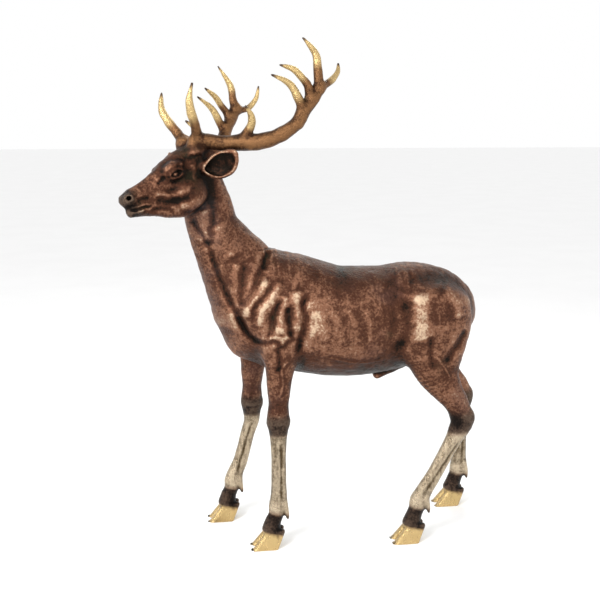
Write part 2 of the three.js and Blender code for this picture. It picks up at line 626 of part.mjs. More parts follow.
function thin({ vertices, faces }, target) {
  const quadrics = new Float64Array(vertices.length * QUADRIC);
  const around = vertices.map(() => new Set());
  const version = new Uint32Array(vertices.length);
  faces.forEach((f, n) => {
    const normal = faceNormal(...f.map((v) => vertices[v]));
    const area = Math.hypot(...normal);
    const plane = [...normal.map((c) => c / area), 0];
    const [x, y, z] = vertices[f[0]];
    plane[3] = -(plane[0] * x + plane[1] * y + plane[2] * z);
    f.forEach((v) => {
      planeQuadric(quadrics, v * QUADRIC, plane, area / 2);
      around[v].add(n);
    });
  });
  const neighbours = (v) => new Set([...around[v]].flatMap((n) => faces[n]).filter((w) => w !== v));
  const heap = new Heap();
  const offer = (a, b) => {
    const q = quadrics.slice(a * QUADRIC,
      a * QUADRIC + QUADRIC).map((t, i) => t + quadrics[b * QUADRIC + i]);
    const [p, r] = [vertices[a], vertices[b]];
    const length = Math.hypot(p[0] - r[0], p[1] - r[1], p[2] - r[2]);
    const middle = p.map((c, i) => (c + r[i]) / 2);
    let to = bestPoint(q);
    if (!to || Math.hypot(...to.map((c, i) => c - middle[i])) > length) to = middle;
    const cost = Math.max(quadricError(q, to), 0) + 1e-3 * length * length * length;
    heap.push({ cost, a, b, to, stamp: version[a] + version[b] });
  };
  faces.forEach((f) => f.forEach((v, i) => v < f[(i + 1) % 3] && offer(v, f[(i + 1) % 3])));
  // A collapse is refused where it would pinch the surface, turn a face over or leave a sliver.
  const turnsOver = (v, other, to) => [...around[v]].some((n) => {
    const f = faces[n];
    if (f.includes(other)) return false;
    const before = faceNormal(...f.map((w) => vertices[w]));
    const after = faceNormal(...f.map((w) => (w === v ? to : vertices[w])));
    const dot = before[0] * after[0] + before[1] * after[1] + before[2] * after[2];
    const rest = f.filter((w) => w !== v).map((w) => vertices[w]);
    const longest = Math.max(...rest.map((p) => Math.hypot(p[0] - to[0], p[1] - to[1], p[2] - to[2])));
    const area = Math.hypot(...after);
    return dot < LEAST_TURN * Math.hypot(...before) * area || area < SLIVER * longest * longest;
  });
  let left = faces.length;
  while (left > target && heap.items.length) {
    const { a, b, to, stamp } = heap.pop();
    if (!around[a] || !around[b] || stamp !== version[a] + version[b]) continue;
    const [na, nb] = [neighbours(a), neighbours(b)];
    const shared = [...na].filter((v) => nb.has(v));
    if (!na.has(b) || shared.length !== 2 || turnsOver(a, b, to) || turnsOver(b, a, to)) continue;
    for (const n of around[b]) {
      const f = faces[n];
      if (f.includes(a)) {
        f.forEach((v) => v !== b && around[v].delete(n));
        faces[n] = null;
        left--;
      } else {
        f[f.indexOf(b)] = a;
        around[a].add(n);
      }
    }
    around[b] = null;
    vertices[a] = to;
    for (let i = 0; i < QUADRIC; i++) quadrics[a * QUADRIC + i] += quadrics[b * QUADRIC + i];
    version[a]++;
    for (const v of neighbours(a)) offer(Math.min(a, v), Math.max(a, v));
  }
  return { vertices, faces: faces.filter(Boolean) };
}

// ---------------------------------------------------------------------------------------------
// The solid: soles cut flat at z = 0, and the origin under the middle of the stag's box
// ---------------------------------------------------------------------------------------------
const wasm = await Module();
wasm.setup();

function manifoldOf(positions, triangles) {
  return new wasm.Manifold(new wasm.Mesh({
    numProp: 3, vertProperties: new Float32Array(positions), triVerts: new Uint32Array(triangles),
  }));
}

function belowGround() {
  const box = new THREE.BoxGeometry(4000, 4000, 200).translate(0, 0, -100);
  box.deleteAttribute('normal');
  box.deleteAttribute('uv');
  const { mergeVertices } = BufferGeometryUtils;
  const merged = mergeVertices(box);
  return manifoldOf(merged.attributes.position.array, merged.index.array);
}

function stagGeometry() {
  const field = sampleField(OPERATIONS);
  fillPinches(field);
  const { vertices, faces } = thin(surfaceNet(field), FACETS);
  const used = new Map();
  const positions = [];
  const triangles = faces.flat().map((v) => {
    if (!used.has(v)) {
      used.set(v, used.size);
      positions.push(...vertices[v]);
    }
    return used.get(v);
  });
  const cut = manifoldOf(positions, triangles).subtract(belowGround()).getMesh();
  const geometry = new THREE.BufferGeometry()
    .setAttribute('position', new THREE.BufferAttribute(new Float32Array(cut.vertProperties), 3))
    .setIndex(new THREE.BufferAttribute(new Uint32Array(cut.triVerts), 1));
  geometry.computeBoundingBox();
  const middle = geometry.boundingBox.getCenter(new THREE.Vector3());
  geometry.translate(-middle.x, -middle.y, 0);
  geometry.computeVertexNormals();
  return geometry;
}

const bronze = new THREE.MeshStandardMaterial({ color: 0x5a3524, metalness: 0.9, roughness: 0.42,
  flatShading: true });
const stag = new THREE.Mesh(stagGeometry(), bronze);
stag.name = 'stag';

const group = new THREE.Group();
group.add(stag);
export default group;
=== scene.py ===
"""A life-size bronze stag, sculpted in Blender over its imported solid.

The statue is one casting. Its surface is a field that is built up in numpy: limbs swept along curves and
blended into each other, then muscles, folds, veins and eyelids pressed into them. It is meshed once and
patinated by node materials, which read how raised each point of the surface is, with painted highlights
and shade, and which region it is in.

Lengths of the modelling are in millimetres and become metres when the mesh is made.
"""

import math

import bpy
import numpy as np
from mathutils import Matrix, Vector


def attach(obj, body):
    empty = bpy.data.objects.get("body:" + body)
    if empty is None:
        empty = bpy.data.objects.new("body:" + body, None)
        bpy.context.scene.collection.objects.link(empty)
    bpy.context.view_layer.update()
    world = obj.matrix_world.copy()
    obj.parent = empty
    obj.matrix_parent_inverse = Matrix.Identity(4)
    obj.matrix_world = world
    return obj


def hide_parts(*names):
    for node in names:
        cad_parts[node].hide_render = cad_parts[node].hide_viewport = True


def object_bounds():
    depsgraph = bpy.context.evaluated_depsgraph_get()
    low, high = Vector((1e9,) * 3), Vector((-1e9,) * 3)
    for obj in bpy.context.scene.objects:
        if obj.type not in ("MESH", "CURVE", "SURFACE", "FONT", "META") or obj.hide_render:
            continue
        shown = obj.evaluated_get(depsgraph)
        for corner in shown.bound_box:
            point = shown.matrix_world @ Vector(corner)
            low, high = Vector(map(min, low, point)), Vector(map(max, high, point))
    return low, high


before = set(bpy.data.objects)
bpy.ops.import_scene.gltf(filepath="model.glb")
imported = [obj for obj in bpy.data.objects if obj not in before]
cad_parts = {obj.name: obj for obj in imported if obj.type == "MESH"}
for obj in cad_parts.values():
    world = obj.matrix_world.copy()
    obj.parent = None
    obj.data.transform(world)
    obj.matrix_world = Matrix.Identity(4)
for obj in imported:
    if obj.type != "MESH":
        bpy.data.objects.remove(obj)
cad_lo, cad_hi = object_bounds()
NODE = "stag"

# ------------------------------------------------------------------------------------------------
# Driving dimensions, in millimetres. The stag faces -X, its left side faces -Y, and it stands on z = 0.
# ------------------------------------------------------------------------------------------------
CELL = 3.4  # grid step of the meshed surface
FACES = 198_000  # most triangles of the finished mesh
BLOCK = 4  # grid steps in a block, which is skipped where the surface doesn't come near
FAR = 1e4

HEAD_YAW, HEAD_PITCH, HEAD_ROLL = 30, 20, 7
POLL = np.array([-366.0, -30.0, 1575.0])
EAR_SWING, EAR_LIFT = 0.6, 0.4
TINE_SAG = 22

KNEE_Z, HOCK_Z, FETLOCK_Z, CORONET_Z = 530, 512, 172, 84
HOOF = {
    "front_left": (-160, -150),
    "front_right": (-326, 132),
    "hind_left": (424, -176),
    "hind_right": (700, 146),
}
KNEE_X = {"front_left": -108, "front_right": -192}
HOCK_X = {"hind_left": 650, "hind_right": 750}
LEFT, RIGHT = 1, -1
SIDE = {"front_left": LEFT, "front_right": RIGHT, "hind_left": LEFT, "hind_right": RIGHT}


# ------------------------------------------------------------------------------------------------
# Small maths
# ------------------------------------------------------------------------------------------------
def mix(a, b, t):
    return a + (b - a) * t


def smooth(lo, hi, v):
    t = np.clip((v - lo) / (hi - lo), 0, 1)
    return t * t * (3 - 2 * t)


def blend_min(a, b, k):
    """Union with a rounded joint of width k."""
    if k <= 0:
        return np.minimum(a, b)
    h = np.maximum(k - np.abs(a - b), 0)
    return np.minimum(a, b) - h * h / (4 * k)


def blend_max(a, b, k):
    return -blend_min(-a, -b, k)


def unit(v):
    v = np.asarray(v, float)
    return v / np.linalg.norm(v)


def resample(rows, step):
    """Catmull-Rom through rows of numbers, about every `step` of the first three, the position."""
    rows = np.array(rows, float)
    out = []
    for i in range(len(rows) - 1):
        p0, p1, p2, p3 = rows[max(i - 1, 0)], rows[i], rows[i + 1], rows[min(i + 2, len(rows) - 1)]
        n = max(2, round(np.linalg.norm((p2 - p1)[:3]) / step))
        for t in np.arange(n) / n:
            out.append(0.5 * (2 * p1 + (p2 - p0) * t + (2 * p0 - 5 * p1 + 4 * p2 - p3) * t * t
                              + (3 * p1 - p0 - 3 * p2 + p3) * t ** 3))
    return np.array(out + [rows[-1]])


class Frame:
    """Forward, left and up axes with an origin. Takes points into the frame and back."""

    def __init__(self, origin, forward, left, up):
        self.origin = np.array(origin, float)
        self.axes = np.array([forward, left, up], float)
        self.forward, self.left, self.up = self.axes

    def local(self, p):
        return (p - self.origin) @ self.axes.T

    def world(self, q):
        return self.origin + np.asarray(q, float) @ self.axes


def head_frame():
    yaw, pitch, roll = (math.radians(a) for a in (HEAD_YAW, HEAD_PITCH, HEAD_ROLL))
    forward = np.array([-math.cos(yaw) * math.cos(pitch), -math.sin(yaw) * math.cos(pitch),
                        -math.sin(pitch)])
    level = np.array([math.sin(yaw), -math.cos(yaw), 0.0])
    left = level * math.cos(roll) + np.cross(forward, level) * math.sin(roll)
    return Frame(POLL, forward, left, np.cross(forward, left))


BODY = Frame((0, 0, 0), (-1, 0, 0), (0, -1, 0), (0, 0, 1))
HEAD = head_frame()


# ------------------------------------------------------------------------------------------------
# Operations on the field: each has a box that it acts in and a function of (points, distances)
# ------------------------------------------------------------------------------------------------
class Op:
    def __init__(self, lo, hi, apply):
        self.lo, self.hi, self.apply = np.asarray(lo, float), np.asarray(hi, float), apply


def joined(lo, hi, distance, k, cut=False):
    if cut:
        return Op(lo, hi, lambda p, d: blend_max(d, -distance(p), k))
    return Op(lo, hi, lambda p, d: blend_min(d, distance(p), k))


def limb(rows, k=20, side=(0, 1, 0), cut=False, step=14):
    """A chain of elliptical sections. A row is x, y, z, a, b.

    b is the half-size along `side`, and a that across it.
    """
    s = resample(rows, step)
    a, b = s[:-1], s[1:]
    span = b[:, :3] - a[:, :3]
    length = np.linalg.norm(span, axis=1)
    tangent = span / length[:, None]
    side = np.asarray(side, float)
    v = side - tangent * (tangent @ side)[:, None]
    v /= np.linalg.norm(v, axis=1)[:, None]
    n = np.cross(tangent, v)
    margin = k + 2 * CELL + 6
    groups = [range(i, min(i + 4, len(a))) for i in range(0, len(a), 4)]

    def distance(p):
        best = np.full(len(p), FAR)
        for group in groups:
            ends = s[group[0]:group[-1] + 2]
            reach = ends[:, 3:].max() + margin
            inside = np.all((p > ends[:, :3].min(0) - reach) & (p < ends[:, :3].max(0) + reach), axis=1)
            at = np.flatnonzero(inside)
            if not len(at):
                continue
            q = p[at]
            near = best[at]
            for i in group:
                r = q - a[i, :3]
                along = r @ tangent[i]
                h = np.clip(along / length[i], 0, 1)
                r -= (h * length[i])[:, None] * tangent[i]
                ra = mix(a[i, 3], b[i, 3], h)
                rb = mix(a[i, 4], b[i, 4], h)
                size = np.sqrt((r @ n[i] / ra) ** 2 + (r @ v[i] / rb) ** 2
                               + ((along - h * length[i]) / np.minimum(ra, rb)) ** 2)
                size = np.maximum(size, 1e-6)
                near = np.minimum(near, np.linalg.norm(r, axis=1) * (1 - 1 / size))
            best[at] = near
        return best

    reach = s[:, 3:].max() + margin
    return joined(s[:, :3].min(0) - reach, s[:, :3].max(0) + reach, distance, k, cut)


def ellipsoid(centre, radii, axes=np.eye(3), k=20, cut=False):
    centre, radii, axes = np.asarray(centre, float), np.asarray(radii, float), np.asarray(axes, float)

    def distance(p):
        r = p - centre
        size = np.maximum(np.linalg.norm(r @ axes.T / radii, axis=1), 1e-6)
        return np.linalg.norm(r, axis=1) * (1 - 1 / size)

    reach = radii.max() + k + 2 * CELL
    return joined(centre - reach, centre + reach, distance, k, cut)


def stroke(points, width=14, depth=8, lip=0.0, sides=(LEFT, RIGHT), on=BODY, start=25, closed=False,
           taper=0.2):
    """A groove, or with depth < 0 a ridge, drawn as a line of [forward, up] that the side view shows.

    lip raises the skin on both sides of a groove, as a share of its depth.
    """
    line = resample([(f, u, 0) for f, u in points], width * 0.7)[:, :2]
    total = len(line) - 1
    reach = 2.8 * width
    corners = [on.world((f, l, u)) for f in (line[:, 0].min() - reach, line[:, 0].max() + reach)
               for u in (line[:, 1].min() - reach, line[:, 1].max() + reach) for l in (-270, 270)]

    def apply(p, d):
        q = on.local(p)
        active = (np.abs(d) < 50) & np.isin(np.sign(q[:, 1]), sides)
        active &= (q[:, 0] > line[:, 0].min() - reach) & (q[:, 0] < line[:, 0].max() + reach)
        active &= (q[:, 2] > line[:, 1].min() - reach) & (q[:, 2] < line[:, 1].max() + reach)
        at = np.flatnonzero(active)
        if not len(at):
            return d
        q = q[at]
        best = np.full(len(at), reach * reach)
        where = np.zeros(len(at))
        for i in range(total):
            run = line[i + 1] - line[i]
            r = q[:, [0, 2]] - line[i]
            h = np.clip(r @ run / (run @ run), 0, 1)
            r2 = ((r - h[:, None] * run) ** 2).sum(1)
            closer = r2 < best
            best[closer] = r2[closer]
            where[closer] = (i + h[closer]) / total
        fade = np.ones(len(at)) if closed else smooth(0, taper, where) * smooth(0, taper,
                                                                                1 - where) * 0.92 + 0.08
        r = np.sqrt(best)
        profile = np.exp(-best / width ** 2) - lip * np.exp(-((r - 1.7 * width) / (0.8 * width)) ** 2)
        d = d.copy()
        d[at] += depth * fade * profile * smooth(start, start + 35, np.abs(q[:, 1]))
        return d

    return Op(np.min(corners, 0), np.max(corners, 0), apply)


def both(make):
    return [op for s in (LEFT, RIGHT) for op in make(s)]


# ------------------------------------------------------------------------------------------------
# Trunk and neck
# ------------------------------------------------------------------------------------------------
# x, z, half-height, half-width
TRUNK = [
    (-214, 920, 108, 86), (-176, 945, 184, 138), (-95, 958, 240, 165), (10, 938, 236, 180),
    (120, 912, 230, 190),
    (240, 907, 228, 190), (350, 915, 221, 180), (460, 940, 208, 165), (560, 943, 180, 150),
    (612, 938, 148, 124),
    (647, 925, 100, 92),
]
NECK = [
    (-190, 0, 1000, 168, 124), (-240, -2, 1115, 155, 108), (-300, -6, 1215, 125, 90),
    (-346, -12, 1300, 103, 76),
    (-366, -18, 1378, 98, 68), (-384, -24, 1450, 88, 62), (-404, -30, 1520, 76, 60),
]


def trunk():
    return [limb([(x, 0, z, a, b) for x, z, a, b in TRUNK], k=0, step=22), limb(NECK, k=70),
            ellipsoid((-212, 0, 868), (98, 80, 106), k=40)]


def tail():
    rows = [(648, 0, 1038, 28, 34), (675, 0, 985, 22, 30), (684, 0, 920, 17, 26), (689, 0, 850, 9, 15)]
    return [limb(rows, k=18)]


def sheath():
    return [limb([(455, 0, 740, 31, 28), (396, 0, 708, 26, 24), (328, 0, 674, 21, 20)], k=12)]


def muscles():
    """The trunk's muscles and folds, as [forward, up] lines: soft swellings, with creases between them."""
    swelling = [
        (34, -13, [(135, 1120), (178, 1066), (232, 1000), (240, 950)]),  # shoulder
        (24, -9, [(94, 1108), (144, 1029), (176, 970), (184, 925)]),
        (22, -10, [(79, 1057), (99, 965), (101, 900)]),
        (26, -11, [(40, 1075), (32, 990), (42, 905)]),
        (30, -9, [(150, 900), (95, 880), (60, 900)]),
        (40, -11, [(-448, 1060), (-452, 1010), (-460, 930), (-462, 840)]),  # front of the thigh
        (36, -4, [(-372, 1100), (-430, 1092)]),  # point of the hip
        (26, -7, [(-560, 1075), (-600, 1010), (-612, 940)]),
        (20, -5, [(262, 1180), (268, 1110), (272, 1050)]),  # neck
        (30, -8, [(395, 1390), (380, 1310), (372, 1250)]),
        (34, -6, [(340, 1330), (305, 1250), (275, 1190)]),
        (20, -2.2, [(-30, 1000), (-60, 930), (-72, 860)]),  # ribs
        (20, -2.2, [(-95, 1010), (-125, 930), (-135, 850)]),
        (20, -2.2, [(-160, 1010), (-190, 930), (-195, 850)]),
        (18, -2.2, [(-225, 1000), (-252, 920), (-255, 850)]),
    ]
    crease = [
        (15, 8, [(113, 1108), (163, 1045), (193, 1010), (209, 945)]),
        (13, 8, [(89, 1048), (124, 978), (137, 917), (145, 882)]),
        (12, 8, [(72, 1012), (64, 935), (60, 884)]),
        (17, 13, [(-18, 1056), (8, 1020), (2, 964), (8, 913), (22, 862), (29, 805)]),  # behind the shoulder
        (16, 11, [(133, 1225), (165, 1156), (190, 1097), (221, 1042), (250, 1003), (257, 963), (237, 911),
                  (203, 869)]),
        (13, 8, [(233, 886), (174, 863), (124, 873), (94, 854), (63, 877), (23, 883)]),
        (12, 6, [(115, 855), (106, 803), (110, 740)]),
        (14, 10, [(368, 1260), (352, 1190), (332, 1123), (304, 1052), (275, 990), (249, 943), (214, 885),
                  (179, 842)]),
        (13, 7, [(432, 1349), (399, 1290), (362, 1232)]),  # throat
        (16, 5, [(354, 1440), (348, 1348), (361, 1299), (362, 1236)]),
        (20, 5, [(227, 1174), (238, 1124), (244, 1064), (254, 1004)]),
        (24, 11, [(-398, 1045), (-401, 1010), (-405, 954), (-403, 891), (-389, 846), (-352, 808)]),  # flank
        (17, 10, [(-650, 900), (-620, 845), (-585, 797), (-559, 757)]),  # hamstring
        (14, 6, [(-497, 886), (-500, 801), (-519, 736)]),
        (12, 7, [(131, 1222), (149, 1176), (158, 1140)]),  # withers
    ]
    veins = [
        (5, -2.2, [(60, 800), (96, 760), (92, 700), (108, 640)]),
        (5, -2.0, [(-90, 800), (-180, 772), (-262, 768), (-330, 782)]),
        (5, -2.2, [(-520, 800), (-566, 735), (-590, 690)]),
    ]
    return [stroke(line, width, depth) for width, depth, line in swelling + crease + veins]


# ------------------------------------------------------------------------------------------------
# Legs
# ------------------------------------------------------------------------------------------------
def front_leg(name):
    x0, x1 = KNEE_X[name], HOOF[name][0] + 52
    lower = lambda t: mix(x0, x1, t)
    rows = [
        (x0 + 18, 905, 84, 52), (x0 + 10, 830, 72, 50), (x0 + 8, 745, 57, 42), (x0 + 4, 670, 48, 36),
        (x0 + 2, 610, 41, 33), (x0, KNEE_Z + 30, 44, 36), (x0, KNEE_Z, 45, 38), (x0, KNEE_Z - 35, 39, 34),
        (lower(0.02), KNEE_Z - 80, 33, 28), (lower(0.27), 380, 30, 25), (lower(0.62), 270, 31, 26),
        (lower(0.9), 215, 34, 30), (lower(1) - 4, FETLOCK_Z, 38, 34), (lower(1) - 12, 138, 31, 29),
        (lower(1) - 24, 110, 33, 31), (lower(1) - 32, CORONET_Z - 8, 38, 35),
    ]
    y = lambda z: -SIDE[name] * mix(0.86 * abs(HOOF[name][1]), abs(HOOF[name][1]),
                                    1 - smooth(300, 850, float(z)))
    return [limb([(x, y(z), z, a, b) for x, z, a, b in rows], k=45)]


def tendons(name, top_x, top_z, bottom_x):
    """The groove that parts the tendon from the cannon bone, and the vein along its front."""
    at = lambda t, back: (-(mix(top_x, bottom_x, t) + back), mix(top_z, FETLOCK_Z + 30, t))
    side = (SIDE[name],)
    return [stroke([at(t, 8) for t in (0.12, 0.4, 0.7, 1)], 6, 5, sides=side),
            stroke([at(t, -9) for t in (0.2, 0.5, 0.85)], 6, 1, sides=side)]


def knee(name):
    x, y = KNEE_X[name], -SIDE[name] * 0.95 * abs(HOOF[name][1])
    return [ellipsoid((x - 22, y, KNEE_Z + 6), (22, 27, 30), k=14),
            ellipsoid((x + 30, y, KNEE_Z + 2), (15, 17, 24), k=14),
            stroke([(-x + 28, KNEE_Z - 8), (-x, KNEE_Z - 12), (-x - 26, KNEE_Z - 6)], 8, 1.5,
                   sides=(SIDE[name],))]


def hind_leg(name):
    hock, fetlock = HOCK_X[name], HOOF[name][0] + 50
    upper = lambda t, top: mix(top, hock, t)
    lower = lambda t: mix(hock, fetlock, t)
    rows = [
        (535, 1000, 135, 66), (528, 900, 150, 74), (upper(0.16, 510), 805, 130, 66),
        (upper(0.4, 478), 715, 91, 52),
        (upper(0.68, 458), 640, 63, 42), (upper(0.9, 450), 575, 49, 35), (hock, HOCK_Z, 48, 34),
        (lower(0.1), HOCK_Z - 45, 42, 32),
        (lower(0.25), 420, 33, 27), (lower(0.6), 300, 31, 25), (lower(0.88), 215, 34, 28),
        (fetlock, FETLOCK_Z, 39, 34),
        (fetlock - 10, 138, 32, 29), (fetlock - 20, 110, 33, 31), (fetlock - 30, CORONET_Z - 8, 38, 35),
    ]
    y = lambda z: -SIDE[name] * mix(0.72 * abs(HOOF[name][1]), abs(HOOF[name][1]),
                                    1 - smooth(350, 900, float(z)))
    return [
        limb([(x, y(z), z, a, b) for x, z, a, b in rows], k=60),
        ellipsoid((hock + 24, y(HOCK_Z), HOCK_Z + 10), (25, 20, 32), k=18),
    ]


TOE = dict(reach=58, heel=-46, slope=52, heel_slope=68, half=43, cleft=3, top=CORONET_Z + 6)


def hoof_toes(name):
    """Two toes, each between a sloping front wall, a heel, an outer wall and the cleft."""
    cx, cy = HOOF[name]
    slope, heel = math.radians(TOE["slope"]), math.radians(TOE["heel_slope"])

    def distance(p):
        f, l, z = cx - p[:, 0], np.abs(p[:, 1] - cy), p[:, 2]
        walls = [
            (f - TOE["reach"]) * math.sin(slope) + z * math.cos(slope) + 0.006 * (l - 22) ** 2,
            -(f - TOE["heel"]) * math.sin(heel) - z * math.cos(heel),
            l - TOE["half"] + 0.14 * z,
            TOE["cleft"] + 0.0011 * np.maximum(f, 0) ** 2 - l,
            z - TOE["top"] + 0.0875 * (TOE["reach"] - f),
        ]
        d = walls[0]
        for wall in walls[1:]:
            d = blend_max(d, wall, 12)
        return d

    return [joined((cx - 110, cy - 110, -70), (cx + 110, cy + 110, 150), distance, 6)]


def dew_claws(name, lean):
    cx, cy = HOOF[name]
    return [limb([(cx + 78 + lean, cy + s * 16, FETLOCK_Z + 20, 12, 12),
                  (cx + 90 + lean, cy + s * 19, FETLOCK_Z - 20, 10, 9),
                  (cx + 94 + lean, cy + s * 20, FETLOCK_Z - 44, 5, 5)], k=14, step=8) for s in (-1, 1)]


# ------------------------------------------------------------------------------------------------
# Head: rows are forward, up, half-height, half-width in its own frame
# ------------------------------------------------------------------------------------------------
SKULL = [
    (-8, 0, 58, 56), (50, 12, 64, 62), (110, 12, 64, 62), (165, 4, 60, 58), (215, -8, 53, 48),
    (265, -15, 45, 39),
    (315, -17, 37, 34), (350, -15, 33, 33), (374, -16, 27, 29), (383, -18, 21, 22),
]
JAW = [
    (110, -86, 66, 48), (165, -98, 68, 46), (215, -91, 61, 41), (275, -74, 47, 34), (325, -63, 36, 29),
    (356, -62, 28, 25), (379, -61, 21, 19),
]
EYE = (182, 62, 4)


def head_limb(rows, **options):
    return limb([(*HEAD.world((f, 0, u)), a, b) for f, u, a, b in rows], side=HEAD.left, step=12, **options)


def head_blob(at, radii, **options):
    return ellipsoid(HEAD.world(at), radii, HEAD.axes, **options)


def head():
    line = lambda points, width, depth, lip=0.0, **options: stroke(points, width, depth, lip, on=HEAD,
                                                                   start=-5, **options)
    ops = [head_limb(SKULL, k=45), head_limb(JAW, k=18)]
    ops += both(lambda s: [
        head_blob((176, s * 52, 18), (40, 18, 28), k=26),
        head_blob((138, s * 40, -86), (58, 19, 58), k=30),
        head_blob((372, s * 20, -14), (24, 14, 20), k=10),
    ])
    ops += [
        # The mouth, and the lower lip
        line([(390, -50), (374, -58), (354, -61), (334, -62), (312, -69), (303, -65)], 5, 6, 0.3),
        line([(384, -66), (362, -72), (338, -73)], 6, -3),
        line([(404, -26), (400, -38), (393, -50)], 4, 3),  # the split of the lip
        line([(293, -35), (262, -43), (230, -60), (193, -69), (161, -66), (128, -48)], 13, -7),  # cheek bone
        line([(286, -58), (243, -78), (198, -93), (160, -96)], 14, 6),  # hollow below it
        line([(320, -84), (278, -92), (250, -108), (226, -132)], 9, 4),  # front of the jaw muscle
        line([(220, 8), (238, 0), (254, -8)], 7, 5),  # tear pit
        line([(173, 46), (112, 38), (66, 32)], 14, 4),
        line([(106, 14), (104, -20), (122, -44)], 12, -4),  # temple
        line([(330, 4), (290, 12), (250, 18)], 12, 3),  # side of the nose
        line([(352, -36), (330, -32), (300, -36)], 10, 4),
    ]
    # The nostril: a hole inside a raised ring.
    ring = [(378 + 14 * math.cos(t), -9 + 12 * math.sin(t)) for t in np.linspace(0, 2 * math.pi, 13)]
    ops.append(line(ring, 5, -3.5, closed=True))
    ops += both(lambda s: [head_blob((378, s * 28, -9), (9, 14, 7), k=4, cut=True)])
    # The eye: a hollow under the brow, the ball, and a lid above and below it.
    f0, l0, u0 = EYE
    ops += both(lambda s: [head_blob((f0, s * (l0 + 6), u0), (25, 12, 13), k=6, cut=True)])
    ops += both(lambda s: [head_blob((f0 - 1, s * (l0 - 9), u0), (17, 14, 12), k=2)])
    ops.append(line([(210, 2), (203, 10), (186, 19), (164, 18), (150, 4)], 6, -4.5, taper=0.1))
    ops.append(line([(208, 0), (192, -9), (168, -11), (152, -4)], 6, -3.2, taper=0.1))
    ops.append(line([(216, 26), (190, 34), (160, 36), (136, 22)], 10, -6))
    ops.append(line([(205, -22), (180, -27), (156, -20)], 7, 3))
    return ops


def ear(s):
    """A leaf-shaped shell, hollowed on the side that faces forward and out."""
    opening = np.array([0.82, 0.57, 0])
    swing, raised = (0, 0) if s == LEFT else (EAR_SWING, EAR_LIFT)

    def leaf(rows, lift, **options):
        placed = []
        for f, l, u, a, b in rows:
            q = np.array([f, l, u]) + lift * opening + np.array([swing, 0, raised]) * (l - 50)
            placed.append((*HEAD.world(q * (1, s, 1)), a, b))
        return limb(placed, side=HEAD.up, step=8, **options)

    return [
        leaf([(60, 50, -10, 22, 24), (52, 78, -26, 26, 34), (32, 108, -31, 24, 49), (7, 136, -26, 20, 48),
              (-12, 161, -13, 14, 34), (-22, 179, 1, 6, 13)], 0, k=14),
        leaf([(48, 82, -26, 16, 14), (34, 108, -30, 22, 36), (8, 136, -25, 20, 41), (-9, 157, -13, 13, 27),
              (-17, 170, -5, 6, 12)], 15, k=4, cut=True),
    ]


# ------------------------------------------------------------------------------------------------
# Antlers: forward, left, up, radius, mirrored for the right one
# ------------------------------------------------------------------------------------------------
ANTLER = {
    "beam": [(60, 36, 36, 30), (46, 46, 78, 32), (20, 66, 70, 29), (-18, 100, 44, 28), (-64, 150, 22, 30),
             (-111, 195, 2, 31), (-162, 230, -6, 29), (-212, 254, -2, 27), (-264, 273, 14, 25),
             (-304, 286, 44, 24),
             (-356, 299, 76, 24), (-398, 305, 104, 19)],
    "brow": [(38, 52, 84, 22), (40, 80, 135, 18), (47, 100, 186, 17), (42, 114, 233, 13),
             (12, 124, 282, 4)],
    "trez": [(-70, 160, 24, 18), (-112, 195, 62, 16), (-119, 215, 99, 13), (-101, 231, 142, 4)],
    "crown1": [(-264, 276, 10, 20), (-292, 286, 55, 18), (-293, 290, 98, 17), (-278, 288, 158, 13),
               (-223, 281, 210, 4)],
    "crown2": [(-340, 298, 84, 18), (-346, 301, 122, 16), (-336, 297, 158, 14), (-315, 291, 200, 12),
               (-272, 282, 231, 4)],
    "crown3": [(-390, 305, 100, 20), (-408, 309, 163, 17), (-421, 311, 222, 14), (-389, 311, 292, 4)],
    "crown4": [(-380, 303, 96, 18), (-424, 302, 102, 14), (-467, 297, 107, 13), (-510, 290, 126, 10),
               (-530, 284, 152, 4)],
}


def antler_rows(s, name):
    rows = ANTLER[name]
    placed = []
    for i, (f, l, u, r) in enumerate(rows):
        sag = TINE_SAG * math.sin(math.pi * i / (len(rows) - 1)) if s == RIGHT and name.startswith("crown") else 0
        placed.append((*HEAD.world((f + sag / 2, s * l, u - sag)), r, r))
    return placed


def burr(s):
    """The ring of pearls round an antler's foot."""
    centre, ring = np.array([57, 37, 44]), 33
    return [head_blob((centre + (ring * math.cos(t), ring * math.sin(t) * 0.95, 5 * math.cos(t))) * (1, s,
                                                                                                     1),
                      (9 + 2 * (i % 3), 9, 8), k=8) for i,
                      t in enumerate(np.linspace(0, 2 * math.pi, 14)[:-1])]


def antler(s):
    return burr(s) + [limb(antler_rows(s, name), k=18 if name == "beam" else 14,
                           step=10) for name in ANTLER]


def stag():
    ops = trunk()
    for name, x in KNEE_X.items():
        ops += front_leg(name) + knee(name) + tendons(name, x, KNEE_Z - 40, HOOF[name][0] + 52)
    for name, x in HOCK_X.items():
        ops += hind_leg(name) + tendons(name, x, HOCK_Z - 40, HOOF[name][0] + 50)
    ops += tail() + sheath() + muscles() + head() + both(ear) + both(antler)
    for name in HOOF:
        ops += hoof_toes(name)
    for name, lean in (("front_left", -8), ("front_right", -8), ("hind_left", -6), ("hind_right", -10)):
        ops += dew_claws(name, lean)
    return ops


# ------------------------------------------------------------------------------------------------
# Meshing
# ------------------------------------------------------------------------------------------------
def evaluate(ops, p):
    d = np.full(len(p), FAR)
    lo, hi = p.min(0), p.max(0)
    for op in ops:
        if np.any(lo > op.hi) or np.any(hi < op.lo):
            continue
        at = np.flatnonzero(np.all((p > op.lo) & (p < op.hi), axis=1))
        if len(at):
            d[at] = op.apply(p[at], d[at])
    return d


def in_chunks(ops, p, size=40_000):
    return np.concatenate([evaluate(ops, p[i:i + size]) for i in range(0, len(p), size)])


